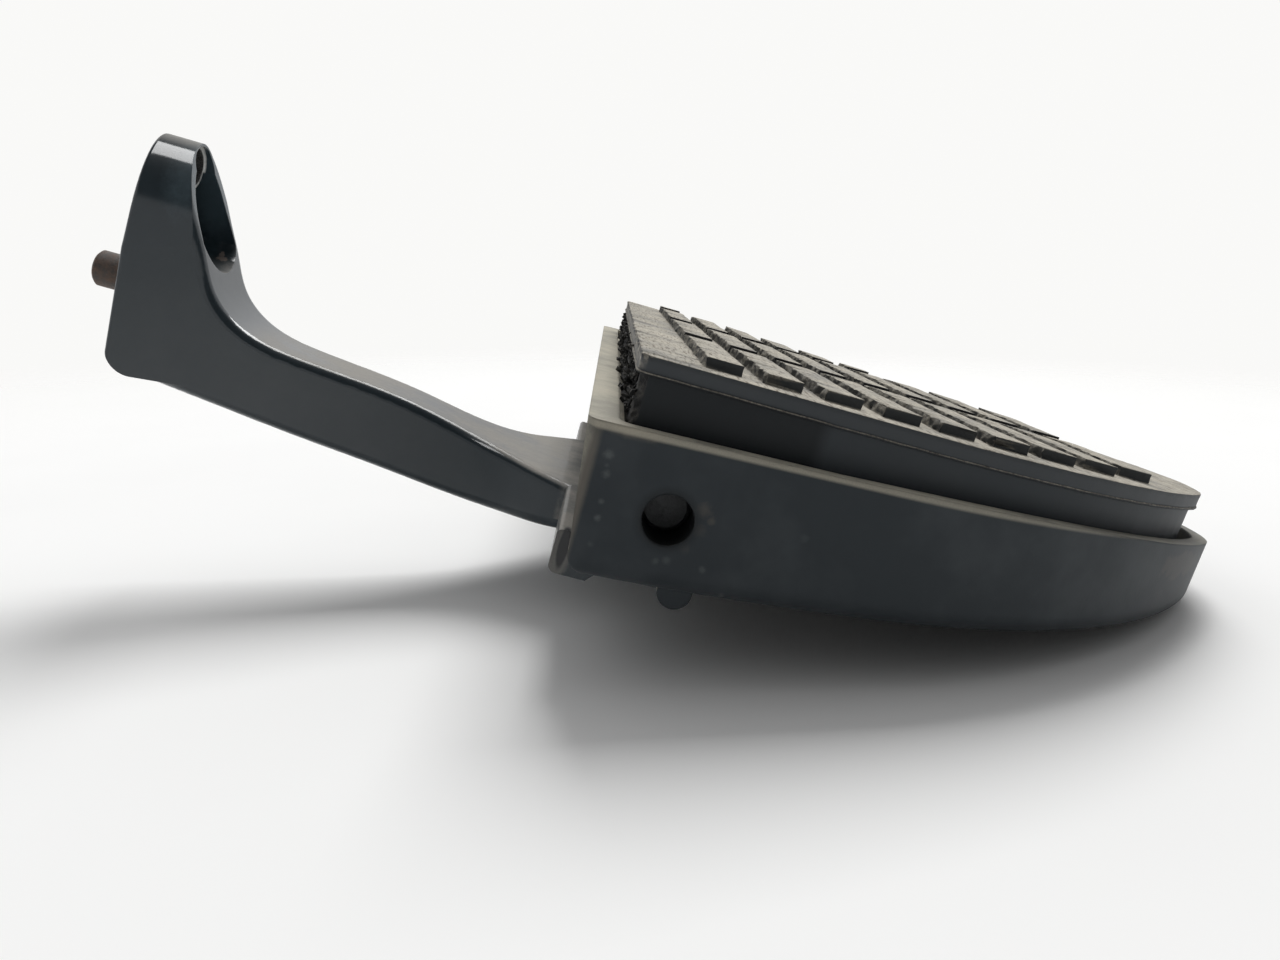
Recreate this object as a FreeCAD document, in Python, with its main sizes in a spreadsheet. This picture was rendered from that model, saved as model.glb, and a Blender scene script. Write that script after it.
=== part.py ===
import FreeCAD, Part
import math
import os
import Sketcher
from FreeCAD import Rotation, Vector

doc = FreeCAD.newDocument("floorboard")

# Driving dimensions in millimetres
dims = {
    "hinge_x": 135.5, "hinge_drop": 36.5, "hinge_side": 75.0,
    "bolt_dia": 8.6, "spot_dia": 11.0, "spot_depth": 8.2, "scoop_depth": 6.0,
    "dowel_dia": 9.0, "dowel_reach": 10.2, "dowel_seat": 13.0, "dowel_drop": 30.0,
    "foot_width": 66.0, "bar_near": 8.0, "bar_len": 128.0,
    "barrel_near": 30.0, "barrel_len": 84.0, "barrel_dia": 17.0,
    "bush_dia": 12.0, "bush_len": 20.0, "bush_flange": 1.0, "bush_flange_dia": 16.0,
    "pivot_dia": 10.0, "pivot_near": 9.5, "pivot_end": 3.5, "bore_gap": 0.04,
    "boss_dia": 17.4, "near_gap": 1.4, "far_gap": 2.2, "far_boss": 22.0, "lug_len": 21.0,
    "rim_height": 24.0, "tray_depth": 44.0, "mat_taper": 1.0,
    "deck_top": 12.0, "deck_thick": 2.8, "rib_thick": 2.4,
    "plate_thick": 2.4, "flange_low": 25.0, "flange_thick": 3.4, "ridge_height": 2.2,
    "ridge_pitch": 12.3, "ridge_width": 7.4, "slit_width": 1.4,
    "stud_dia": 6.0, "stud_len": 13.0, "washer_dia": 14.0, "washer_thick": 1.4,
    "nut_across": 10.0, "nut_height": 5.0, "clip_thick": 1.0,
}
sheet = doc.addObject("Spreadsheet::Sheet", "sheet")
for row, (alias, size) in enumerate(dims.items(), start=1):
    sheet.set("A%d" % row, alias)
    sheet.set("B%d" % row, str(size))
    sheet.setAlias("B%d" % row, alias)
doc.recompute()
d = dims


def bind(thing, path, formula):
    words = sorted(dims, key=len, reverse=True)
    for word in words:
        formula = formula.replace(word, "<" + str(words.index(word)) + ">")
    for word in words:
        formula = formula.replace("<" + str(words.index(word)) + ">", "sheet." + word)
    thing.setExpression(path, formula)


def at_hinge(thing, x="0", y="0", z="0"):
    bind(thing, "Placement.Base.x", "hinge_x + " + x)
    bind(thing, "Placement.Base.y", "-hinge_side + " + y)
    bind(thing, "Placement.Base.z", "-hinge_drop + " + z)


def new_body(label):
    body = doc.addObject("PartDesign::Body", label)
    body.Label = label
    at_hinge(body)
    return body


def new_sketch(body, name, role, level="0"):
    sketch = body.newObject("Sketcher::SketchObject", name)
    plane = [item for item in body.Origin.OriginFeatures if item.Role == role][0]
    sketch.AttachmentSupport = [(plane, "")]
    sketch.MapMode = "FlatFace"
    bind(sketch, "AttachmentOffset.Base.z", level)
    return sketch


def vec(point):
    return Vector(point[0], point[1], 0)


# Each step of a path is a point, an arc through a middle point, or a curve through points
def draw(sketch, start, steps):
    here = start
    ends = []
    for step in steps:
        begin = vec(here)
        if step[0] == "arc":
            curve = Part.Arc(vec(here), vec(step[1]), vec(step[2]))
            here = step[2]
        elif step[0] == "curve":
            curve = Part.BSplineCurve()
            curve.interpolate([vec(here)] + [vec(point) for point in step[1:]])
            here = step[-1]
        else:
            curve = Part.LineSegment(vec(here), vec(step))
            here = step
        index = sketch.addGeometry(curve, False)
        forward = (sketch.getPoint(index, 1) - begin).Length < (sketch.getPoint(index, 2) - begin).Length
        ends.append((index, 1, 2) if forward else (index, 2, 1))
    for one, two in zip(ends, ends[1:] + ends[:1]):
        sketch.addConstraint(Sketcher.Constraint("Coincident", one[0], one[2], two[0], two[1]))


def circle(sketch, centre, size, formula):
    index = sketch.addGeometry(Part.Circle(vec(centre), Vector(0, 0, 1), size / 2), False)
    spot = sketch.addConstraint(Sketcher.Constraint("Diameter", index, size))
    for number, axis in enumerate(("DistanceX", "DistanceY")):
        if abs(centre[number]) > 0.001:
            sketch.addConstraint(Sketcher.Constraint(axis, -1, 1, index, 3, centre[number]))
    if abs(centre[0]) < 0.001:
        sketch.addConstraint(Sketcher.Constraint("PointOnObject", index, 3, -2))
    if abs(centre[1]) < 0.001:
        sketch.addConstraint(Sketcher.Constraint("PointOnObject", index, 3, -1))
    bind(sketch, "Constraints[%d]" % spot, formula)


def pad(body, sketch, length, both=False, back=False, taper=None):
    feature = body.newObject("PartDesign::Pad", sketch.Name + "_pad")
    feature.Profile = sketch
    feature.SideType = "Symmetric" if both else "One side"
    feature.Reversed = back
    bind(feature, "Length", length)
    if taper:
        bind(feature, "TaperAngle", taper)
    sketch.Visibility = False
    doc.recompute()
    return feature


def pocket(body, sketch, length=None, back=False):
    feature = body.newObject("PartDesign::Pocket", sketch.Name + "_cut")
    feature.Profile = sketch
    feature.Reversed = back
    if length:
        bind(feature, "Length", length)
    else:
        feature.Type = "ThroughAll"
        feature.SideType = "Symmetric"
    sketch.Visibility = False
    doc.recompute()
    return feature


def fillet(body, radius, wanted):
    shape = body.Tip.Shape
    names = ["Edge%d" % (n + 1) for n, edge in enumerate(shape.Edges) if wanted(edge)]
    feature = body.newObject("PartDesign::Fillet", body.Name + "_round")
    feature.Base = (body.Tip if body.Tip != feature else feature.BaseFeature, names)
    feature.Radius = radius
    doc.recompute()
    return feature


# The plan outline of the board, drawn smaller by an inset
def board_plan(sketch, inset, left, near_edge, far_edge, corner):
    big = 118.0 - inset
    small = 50.0 - inset
    turn = math.radians(50)
    flat = near_edge
    centre = (40.0, flat + big)
    swing = (centre[0] + big * math.sin(turn), centre[1] - big * math.cos(turn))
    middle = (centre[0] + big * math.sin(turn / 2), centre[1] - big * math.cos(turn / 2))
    hub = (swing[0] - small * math.sin(turn), swing[1] + small * math.cos(turn))
    half = math.radians(92.5)
    outer = (hub[0] + small * math.sin(half), hub[1] - small * math.cos(half))
    slant = math.radians(135)
    end = (hub[0] + small * math.sin(slant), hub[1] - small * math.cos(slant))
    top = end[0] + end[1]
    reach = corner * math.tan(math.radians(22.5))
    knee = (top - far_edge, far_edge)
    knee_in = (knee[0] + reach * math.sqrt(0.5), knee[1] - reach * math.sqrt(0.5))
    knee_out = (knee[0] - reach, far_edge)
    bend = (knee_out[0] + corner * math.sin(math.radians(22.5)),
            far_edge - corner * (1 - math.cos(math.radians(22.5))))
    soft = 3.0
    cut = soft * (1 - math.sqrt(0.5))
    draw(sketch, (left + soft, flat), [
        (40.0, flat), ("arc", middle, swing), ("arc", outer, end), knee_in,
        ("arc", bend, knee_out), (left + soft, far_edge),
        ("arc", (left + cut, far_edge - cut), (left, far_edge - soft)),
        (left, flat + soft), ("arc", (left + cut, flat + cut), (left + soft, flat))])
    return top


# Arm casting: side profile, plan and arch cut from one pad
arm = new_body("arm")
face = -d["hinge_x"]
bolt_z = d["hinge_drop"]
mid = d["hinge_side"]
side = new_sketch(arm, "arm_side", "XZ_Plane", "-hinge_side")
draw(side, (face, -10.0), [
    (face, bolt_z + 7.5), (face + 9.3, bolt_z + 7.5), (face + 9.9, bolt_z + 3.5),
    ("curve", (face + 12.0, bolt_z - 3.1), (face + 14.6, bolt_z - 10.0), (face + 18.2, bolt_z - 18.1),
     (face + 22.3, 9.2), (face + 29.5, 3.0), (face * 0.6635, -0.9), (face * 0.465, -3.9),
     (-42.0, -8.0), (-28.0, -9.3)),
    (-12.0, -9.4), (-12.0, -18.5), (-17.0, -20.0),
    ("curve", (-29.0, -23.0), (-42.0, -24.4), (face * 0.48, -22.8), (face * 0.635, -20.5),
     (face + 23.5, -17.1), (face + 10.5, -15.3)),
    (face + 7.1, -15.6), ("arc", (face + 2.1, -14.0), (face, -10.0))])
pad(arm, side, "foot_width", both=True)


# Half widths of the arm in plan, from the boss to the flare of the foot
def arm_widths():
    waist = 10.6
    spread = (d["foot_width"] / 2 - waist) / 22.4
    flare = [(-46.0, 1.8), (-35.0, 7.2), (-26.0, 14.9), (-17.0, 22.2), (-2.0, 31.4)]
    straight = [(face + 5.5, 13.0), (face + 23.5, 12.1), (face * 0.65, 11.2), (face * 0.443, waist)]
    return straight + [(x, waist + spread * wide) for x, wide in flare]


plan = new_sketch(arm, "arm_plan", "XY_Plane", "-90")
clear = face - 34.5
draw(plan, (clear, -10.0), [(6.0, -10.0), (6.0, 160.0), (clear, 160.0), (clear, -10.0)])
end_x, end_half = face - 14.5, 13.8
widths = arm_widths()
draw(plan, (end_x, mid - end_half), [
    ("curve", *[(x, mid - half) for x, half in widths]),
    (widths[-1][0], mid + widths[-1][1]),
    ("curve", *[(x, mid + half) for x, half in widths[-2::-1]], (end_x, mid + end_half)),
    (end_x, mid - end_half)])
pocket(arm, plan, "180", back=True)
arch = new_sketch(arm, "arm_arch", "YZ_Plane", "-200")
arch_half = [(12.4, -16.5), (11.4, -10.0), (9.9, -4.5), (7.6, 0.5), (4.4, 4.3)]
draw(arch, (mid - 45.0, 8.0), [
    (mid - 15.0, 8.0),
    ("curve", *[(mid - half, bolt_z + up) for half, up in arch_half], (mid, bolt_z + 6.1),
     *[(mid + half, bolt_z + up) for half, up in arch_half[::-1]], (mid + 15.0, 8.0)),
    (mid + 45.0, 8.0), (mid + 45.0, 60.0), (mid - 45.0, 60.0), (mid - 45.0, 8.0)])
pocket(arm, arch, "300", back=True)
fillet(arm, 2.4, lambda e: e.Length > 100 and e.BoundBox.XLength > 60)
fillet(arm, 1.0, lambda e: e.BoundBox.XMax < face + 0.1)

# Scoop, spot face, bolt hole and dowel hole in the boss
scoop = new_sketch(arm, "arm_scoop", "YZ_Plane", "-hinge_x + scoop_depth")
scoop_half = [(9.9, -16.5), (9.2, -10.0), (7.7, -4.5), (4.6, 0.5)]
draw(scoop, (mid - scoop_half[0][0], bolt_z + scoop_half[0][1]), [
    ("curve", *[(mid - half, bolt_z + up) for half, up in scoop_half[1:]]),
    (mid + scoop_half[-1][0], bolt_z + scoop_half[-1][1]),
    ("curve", *[(mid + half, bolt_z + up) for half, up in scoop_half[-2::-1]]),
    ("arc", (mid, 13.5), (mid - scoop_half[0][0], bolt_z + scoop_half[0][1]))])
pocket(arm, scoop, "30", back=True)
land = new_sketch(arm, "arm_land", "YZ_Plane", "-hinge_x + 3")
circle(land, (mid, bolt_z), d["spot_dia"], "spot_dia")
pad(arm, land, "spot_depth - 3")
spot = new_sketch(arm, "arm_spot", "YZ_Plane", "-hinge_x + spot_depth")
circle(spot, (mid, bolt_z), d["spot_dia"], "spot_dia")
pocket(arm, spot, "20", back=True)
bolt = new_sketch(arm, "arm_bolt", "YZ_Plane", "-hinge_x - 10")
circle(bolt, (mid, bolt_z), d["bolt_dia"], "bolt_dia")
pocket(arm, bolt, "40", back=True)
seat = new_sketch(arm, "arm_dowel", "YZ_Plane", "-hinge_x")
circle(seat, (mid, bolt_z - d["dowel_drop"]), d["dowel_dia"] + 0.02, "dowel_dia + 0.02")
pocket(arm, seat, "dowel_seat", back=True)

# Hinge foot: ledge, neck and barrel with its bores
ledge = new_sketch(arm, "arm_ledge", "XZ_Plane", "-bar_near")
draw(ledge, (-19.4, -10.4), [
    (-19.4, -16.7), ("arc", (-18.9, -18.0), (-17.6, -18.5)), (-11.6, -18.5), (-9.4, -16.2), (2.6, -16.2),
    (2.6, -9.4), (-18.4, -9.4), ("arc", (-19.1, -9.7), (-19.4, -10.4))])
pad(arm, ledge, "bar_len", back=True)
neck = new_sketch(arm, "arm_neck", "XZ_Plane", "-barrel_near")
draw(neck, (-15.0, -10.0), [
    ("curve", (-10.5, -7.0), (-8.45, 0.0)), (8.45, 0.0), ("curve", (6.5, -7.5), (2.6, -15.0)),
    (-15.0, -15.0), (-15.0, -10.0)])
pad(arm, neck, "barrel_len", back=True)
barrel = new_sketch(arm, "arm_barrel", "XZ_Plane", "-barrel_near")
circle(barrel, (0.0, 0.0), d["barrel_dia"], "barrel_dia")
pad(arm, barrel, "barrel_len", back=True)
bore = new_sketch(arm, "arm_bore", "XZ_Plane", "-barrel_near")
circle(bore, (0.0, 0.0), d["pivot_dia"] + 0.8, "pivot_dia + 0.8")
pocket(arm, bore, "barrel_len")
for name, level, back in (("arm_seat_near", "-barrel_near", False),
                          ("arm_seat_far", "-barrel_near - barrel_len", True)):
    hole = new_sketch(arm, name, "XZ_Plane", level)
    circle(hole, (0.0, 0.0), d["bush_dia"] + 0.02, "bush_dia + 0.02")
    pocket(arm, hole, "bush_len", back=back)


def turned(label, profile, y):
    body = new_body(label)
    at_hinge(body, y=y)
    sketch = new_sketch(body, label + "_half", "YZ_Plane", "0")
    points = profile()
    draw(sketch, points[0], points[1:] + [points[0]])
    feature = body.newObject("PartDesign::Revolution", label + "_turn")
    feature.Profile = sketch
    feature.ReferenceAxis = (sketch, ["H_Axis"])
    feature.Angle = 360.0
    sketch.Visibility = False
    doc.recompute()
    return body, sketch


def size_line(sketch, line, end, axis, size, formula):
    spot = sketch.addConstraint(Sketcher.Constraint(axis, -1, 1, line, end, size))
    bind(sketch, "Constraints[%d]" % spot, formula)


# Locating pin pressed into the mounting face, with a chamfered end and a relief groove
def dowel_profile():
    radius = d["dowel_dia"] / 2
    neck = radius - 0.3
    tip = -d["dowel_reach"]
    deep = d["dowel_seat"] - 0.5
    return [(tip, 0.0), (tip, radius - 0.6), (tip + 0.6, radius), (-1.0, radius), (-1.0, neck), (0.4, neck),
            (0.4, radius), (deep, radius), (deep, 0.0)]


dowel, dowel_half = turned("locating_pin", dowel_profile, "0")
size_line(dowel_half, 6, 2, "DistanceX", d["dowel_seat"] - 0.5, "dowel_seat - 0.5")
size_line(dowel_half, 2, 2, "DistanceY", d["dowel_dia"] / 2, "dowel_dia / 2")
dowel.Placement.Rotation = Rotation(Vector(0, 0, 1), -90)
bind(dowel, "Placement.Base.x", "0")
bind(dowel, "Placement.Base.y", "0")
bind(dowel, "Placement.Base.z", "-dowel_drop")


# Flanged bushes in the barrel ends
def bush_profile():
    inner = d["pivot_dia"] / 2 + 0.03
    outer = d["bush_dia"] / 2
    wide = d["bush_flange_dia"] / 2
    lip = d["bush_flange"]
    long = d["bush_len"] - 0.5
    return [(-lip, inner), (long, inner), (long, outer), (-0.01, outer), (-0.01, wide), (-lip, wide)]


bushes = []
for label, y, turn in (("bush_near", "barrel_near", 0), ("bush_far", "barrel_near + barrel_len", 180)):
    bush, half = turned(label, bush_profile, y)
    size_line(half, 1, 2, "DistanceX", d["bush_len"] - 0.5, "bush_len - 0.5")
    size_line(half, 2, 2, "DistanceY", d["bush_dia"] / 2, "bush_dia / 2")
    size_line(half, 0, 1, "DistanceY", d["pivot_dia"] / 2 + 0.03, "pivot_dia / 2 + 0.03")
    size_line(half, 4, 2, "DistanceY", d["bush_flange_dia"] / 2, "bush_flange_dia / 2")
    bush.Placement.Rotation = Rotation(Vector(0, 0, 1), turn)
    bushes.append(bush)

# Board casting: drafted shell, rim crown, rising bottom and pan
tray = new_body("tray")
shell = new_sketch(tray, "tray_plan", "XY_Plane", "rim_height")
board_plan(shell, 0.0, -19.6, -0.4, 243.5, 20.0)
pad(tray, shell, "tray_depth", back=True)
rim = new_sketch(tray, "tray_rim", "XZ_Plane", "40")
draw(rim, (-60.0, 13.7), [
    (30.0, 16.6), ("arc", (70.0, 18.2), (110.0, 18.2)), (200.0, 16.6),
    (200.0, 60.0), (-60.0, 60.0), (-60.0, 13.7)])
pocket(tray, rim, "360")
bottom = new_sketch(tray, "tray_bottom", "XZ_Plane", "40")
draw(bottom, (-60.0, 40.0), [
    (-22.6, 40.0), (-16.6, -10.0), ("arc", (-15.5, -13.6), (-12.2, -15.534)),
    (-6.0, -15.1), ("arc", (12.0, -13.606), (30.0, -11.644)), (200.0, 9.096),
    (200.0, -60.0), (-60.0, -60.0), (-60.0, 40.0)])
pocket(tray, bottom, "360")


def low_edge(edge):
    mid = edge.CenterOfMass
    box = edge.BoundBox
    below = mid.z < -11.0 + max(0.0, (mid.x - 5.0) * 0.13)
    across = box.YLength > 200 or (box.XLength < 0.1 and box.YLength > 20)
    return below and not across and mid.x > -6 and not (box.XLength < 0.1 and box.YLength < 0.1)


fillet(tray, 4.5, low_edge)
pan = new_sketch(tray, "tray_pan", "XY_Plane", "rim_height + 8")
board_plan(pan, 3.4, -13.5, 3.2, 237.5, 9.0)
pocket(tray, pan, "rim_height + 8 - deck_top")

# Hollow underside with ribs
hollow = new_sketch(tray, "tray_hollow", "XY_Plane", "-40")
board_plan(hollow, 6.0, -14.0, 5.4, 233.0, 12.0)
pocket(tray, hollow, "40 + deck_top - deck_thick", back=True)
window = new_sketch(tray, "tray_window", "XY_Plane", "-40")
open_near = d["bar_near"] - 0.6
open_far = d["bar_near"] + d["bar_len"] + 1.0
draw(window, (-40.0, open_near), [
    (-10.0, open_near), (-10.0, open_far), (-40.0, open_far), (-40.0, open_near)])
pocket(tray, window, "40 + deck_top - deck_thick", back=True)


def outer_edge(y, inset):
    big, small = 118.0 - inset, 50.0 - inset
    swing = (40.0 + big * math.sin(math.radians(50)), inset + big - big * math.cos(math.radians(50)))
    hub = (swing[0] - small * math.sin(math.radians(50)), swing[1] + small * math.cos(math.radians(50)))
    if y < swing[1]:
        return 40.0 + math.sqrt(max(0.0, big ** 2 - (inset + big - y) ** 2))
    if y < hub[1] + small * math.sqrt(0.5):
        return hub[0] + math.sqrt(max(0.0, small ** 2 - (y - hub[1]) ** 2))
    return hub[0] + hub[1] + small * math.sqrt(2.0) - y


def bottom_height(x):
    return -13.2 if x < 8 else -13.4 + 0.121 * (x - 5.0)


rib_rows = [30.0 + 28.0 * n for n in range(8)]
for number, y in enumerate(rib_rows):
    rib = new_sketch(tray, "tray_rib_%d" % (number + 1), "XZ_Plane", "%.1f + rib_thick / 2" % -y)
    start = 12.5 if y < 150 else -14.5
    stop = outer_edge(y, 6.0) + 1.6
    low = bottom_height(stop) + 6.0
    draw(rib, (start, 10.5), [
        (stop, 10.5), (stop, min(low, 8.0)), (stop - 12.0, bottom_height(stop - 12.0) + 1.6),
        (start, bottom_height(start) + 1.6), (start, 10.5)])
    pad(tray, rib, "rib_thick", back=True)
spine = new_sketch(tray, "tray_spine", "YZ_Plane", "12.5")
draw(spine, (3.0, 10.5), [(3.0, -10.5), (222.0, -10.5), (222.0, 10.5), (3.0, 10.5)])
pad(tray, spine, "rib_thick")
beam = new_sketch(tray, "tray_beam", "YZ_Plane", "62")
draw(beam, (5.0, 10.5), [(5.0, -4.6), (172.0, -4.6), (172.0, 10.5), (5.0, 10.5)])
pad(tray, beam, "rib_thick")

# Hinge bosses and stop lugs of the board
barrel_end = "barrel_near + barrel_len"
for name, level, length in (("near", "-2", "barrel_near - near_gap - 2"),
                            ("far", "-(%s + far_gap)" % barrel_end, "far_boss")):
    block = new_sketch(tray, "tray_block_" + name, "XZ_Plane", level)
    draw(block, (-8.7, 0.0), [(8.7, 0.0), (13.5, 2.0), (13.5, 10.5), (-8.7, 10.5), (-8.7, 0.0)])
    pad(tray, block, length, back=True)
    boss = new_sketch(tray, "tray_boss_" + name, "XZ_Plane", level)
    circle(boss, (0.0, 0.0), d["boss_dia"], "boss_dia")
    pad(tray, boss, length, back=True)
for name, level, length in (("near", "-bar_near + 0.4", "barrel_near - near_gap - bar_near + 0.4"),
                            ("far", "-(%s + far_gap)" % barrel_end, "lug_len")):
    lug = new_sketch(tray, "tray_lug_" + name, "XZ_Plane", level)
    draw(lug, (2.8, -4.0), [
        (2.8, -16.2), ("arc", (6.6, -19.6), (9.9, -15.6)), ("curve", (10.8, -12.5), (13.5, -9.5)),
        (13.5, 3.0), (2.8, 3.0), (2.8, -4.0)])
    pad(tray, lug, length, back=True)
pivot_hole = new_sketch(tray, "tray_pivot", "XZ_Plane", "5")
circle(pivot_hole, (0.0, 0.0), d["pivot_dia"] + d["bore_gap"], "pivot_dia + bore_gap")
pocket(tray, pivot_hole, barrel_end + " + far_gap + far_boss + 9")

# Holes in the deck for the studs of the mat plate
stud_spots = [(34.0, 21.0), (88.0, 44.0), (34.0, 100.0), (100.0, 100.0), (34.0, 156.0), (76.0, 128.0)]
holes = new_sketch(tray, "tray_studs", "XY_Plane", "deck_top")
for spot_at in stud_spots:
    circle(holes, spot_at, d["stud_dia"] + 0.8, "stud_dia + 0.8")
pocket(tray, holes, "deck_thick + 1")

# Pivot pin with a groove for its clip
pivot = new_body("pivot_pin")
at_hinge(pivot, y="pivot_near")
rod = new_sketch(pivot, "pivot_half", "YZ_Plane", "0")
rod_end = d["barrel_near"] + d["barrel_len"] + d["far_gap"] + d["far_boss"] + d["pivot_end"] - d["pivot_near"]
draw(rod, (0.0, 0.0), [
    (0.0, 4.2), (0.8, 5.0), (rod_end - 3.0, 5.0), (rod_end - 3.0, 4.4), (rod_end - 1.8, 4.4),
    (rod_end - 1.8, 5.0), (rod_end - 0.6, 5.0), (rod_end, 4.4), (rod_end, 0.0), (0.0, 0.0)])
spin = pivot.newObject("PartDesign::Revolution", "pivot_turn")
spin.Profile = rod
spin.ReferenceAxis = (rod, ["H_Axis"])
spin.Angle = 360.0
size_line(rod, 8, 1, "DistanceX", rod_end, barrel_end + " + far_gap + far_boss + pivot_end - pivot_near")
size_line(rod, 1, 2, "DistanceY", d["pivot_dia"] / 2, "pivot_dia / 2")
rod.Visibility = False
doc.recompute()

# Retaining clip, thrust washer and wave washer on the pivot
clip = new_body("pivot_clip")
at_hinge(clip, y=barrel_end + " + far_gap + far_boss + pivot_end - 2.9")
ring = new_sketch(clip, "clip_ring", "XZ_Plane", "0")
gap = math.radians(24)
draw(ring, (7.4 * math.cos(gap), 7.4 * math.sin(gap)), [
    ("arc", (-7.4, 0.0), (7.4 * math.cos(gap), -7.4 * math.sin(gap))),
    (4.42 * math.cos(gap), -4.42 * math.sin(gap)),
    ("arc", (-4.42, 0.0), (4.42 * math.cos(gap), 4.42 * math.sin(gap))),
    (7.4 * math.cos(gap), 7.4 * math.sin(gap))])
pad(clip, ring, "clip_thick", back=True)


def washer(label, y, outer, inner, thick):
    body = new_body(label)
    at_hinge(body, y=y)
    face = new_sketch(body, label + "_face", "XZ_Plane", "0")
    circle(face, (0.0, 0.0), outer, "%.2f" % outer)
    circle(face, (0.0, 0.0), inner, "pivot_dia + %.2f" % (inner - d["pivot_dia"]))
    pad(body, face, thick, back=True)
    return body


# Mat plate with its welded studs
plate = new_body("mat_plate")
sheet_plan = new_sketch(plate, "plate_plan", "XY_Plane", "deck_top")
board_plan(sheet_plan, 17.0, -2.0, 15.0, 200.0, 12.0)
pad(plate, sheet_plan, "plate_thick")
studs = new_sketch(plate, "plate_studs", "XY_Plane", "deck_top + 1")
for spot_at in stud_spots:
    circle(studs, spot_at, d["stud_dia"], "stud_dia")
pad(plate, studs, "stud_len", back=True)

# Rubber mat: foot, flange and ridges
mat = new_body("mat")
foot = new_sketch(mat, "mat_foot", "XY_Plane", "deck_top")
board_plan(foot, 6.9, -11.6, 6.0, 227.0, 10.0)
pad(mat, foot, "flange_low + 1 - deck_top", taper="mat_taper")
flange = new_sketch(mat, "mat_flange", "XY_Plane", "flange_low")
board_plan(flange, 6.0, -12.8, 4.2, 229.0, 12.0)
pad(mat, flange, "flange_thick")
recess = new_sketch(mat, "mat_recess", "XY_Plane", "deck_top")
board_plan(recess, 16.6, -2.4, 14.6, 200.4, 12.0)
pocket(mat, recess, "plate_thick + 0.05", back=True)
ridges = new_sketch(mat, "mat_ridges", "XY_Plane", "flange_low + flange_thick - 0.5")
ridge_total = 9
for number in range(ridge_total):
    x0 = d["ridge_pitch"] * number
    x1 = x0 + d["ridge_width"]
    curve_in = max(0.0, x1 - 40.0)
    start = 12.2 + (118.0 - math.sqrt(118.0 ** 2 - curve_in ** 2)) * 1.02 if curve_in < 100 else 0.0
    top = 218.0
    draw(ridges, (x0, start), [(x1, start), (x1, top - x1), (x0, min(top - x0, 224.0)), (x0, start)])
pad(mat, ridges, "ridge_height + 0.5")
slits = new_sketch(mat, "mat_slits", "XY_Plane", "flange_low + flange_thick + ridge_height + 1")
for y in (74.0, 141.0, 206.0):
    draw(slits, (-8.0, y), [(130.0, y + 4.0), (130.0, y + 4.0 + d["slit_width"]), (-8.0, y + d["slit_width"]), (-8.0, y)])
pocket(mat, slits, "ridge_height + 0.8")


# Washers and nuts under the deck
def nut_set(number, spot_at):
    ring = new_body("mat_washer_%d" % number)
    flat = new_sketch(ring, "mat_washer_face_%d" % number, "XY_Plane", "deck_top - deck_thick")
    circle(flat, spot_at, d["washer_dia"], "washer_dia")
    circle(flat, spot_at, d["stud_dia"] + 0.4, "stud_dia + 0.4")
    pad(ring, flat, "washer_thick", back=True)
    hexagon = new_body("mat_nut_%d" % number)
    level = "deck_top - deck_thick - washer_thick"
    face = new_sketch(hexagon, "mat_nut_face_%d" % number, "XY_Plane", level)
    radius = d["nut_across"] / math.sqrt(3)
    corners = [(spot_at[0] + radius * math.cos(math.radians(60 * n)),
                spot_at[1] + radius * math.sin(math.radians(60 * n))) for n in range(7)]
    draw(face, corners[0], corners[1:])
    circle(face, spot_at, d["stud_dia"] + 0.02, "stud_dia + 0.02")
    pad(hexagon, face, "nut_height", back=True)
    return [ring, hexagon]


wave = washer("wave_washer", barrel_end + " + bush_flange + 0.3", 15.5, 10.2, "0.6")
nuts = []
for number, spot_at in enumerate(stud_spots, start=1):
    nuts += nut_set(number, spot_at)

# Checks, then one file for each piece
doc.recompute()
pieces = [arm, dowel] + bushes + [tray, pivot, clip, wave, plate, mat] + nuts
faults = [item.Name for item in doc.Objects if "Invalid" in item.State or "Error" in item.State]
if faults:
    raise RuntimeError("not built: " + ", ".join(faults))
os.makedirs("parts", exist_ok=True)
for piece in pieces:
    shape = piece.Shape
    if shape.isNull() or not shape.isValid() or len(shape.Solids) != 1:
        raise RuntimeError("bad shape: %s %d" % (piece.Label, len(shape.Solids)))
    shape.exportStep("parts/%s.step" % piece.Label)
    box = shape.BoundBox
    print(piece.Label, round(shape.Volume), [round(v, 1) for v in (
        box.XMin, box.XMax, box.YMin, box.YMax, box.ZMin, box.ZMax)])
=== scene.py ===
import math

import bmesh
import bpy
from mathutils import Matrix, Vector, noise


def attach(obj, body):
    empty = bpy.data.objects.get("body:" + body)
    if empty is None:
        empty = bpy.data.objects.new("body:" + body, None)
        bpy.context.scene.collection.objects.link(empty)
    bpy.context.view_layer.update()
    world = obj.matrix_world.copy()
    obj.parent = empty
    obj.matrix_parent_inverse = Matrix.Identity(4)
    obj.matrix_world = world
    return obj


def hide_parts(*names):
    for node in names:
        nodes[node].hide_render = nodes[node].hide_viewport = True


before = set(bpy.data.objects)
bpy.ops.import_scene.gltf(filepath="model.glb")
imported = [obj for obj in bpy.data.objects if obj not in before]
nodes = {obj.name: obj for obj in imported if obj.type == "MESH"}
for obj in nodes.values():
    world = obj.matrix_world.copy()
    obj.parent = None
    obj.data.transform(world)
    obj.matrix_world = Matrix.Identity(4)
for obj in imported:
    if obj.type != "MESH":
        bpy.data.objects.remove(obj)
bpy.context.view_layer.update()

mm = 0.001
hinge = Vector((0.1355, -0.075, -0.0365))  # board origin: hinge axis at the near wall
lyingUp = Vector((-0.2661, 0.0059, 0.9639)).normalized()  # which way is up as the part lies on its floor
print("frame loaded", len(nodes), "nodes")


def onBoard(x, y, z):
    return tuple(hinge + Vector((x, y, z)) * mm)


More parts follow.
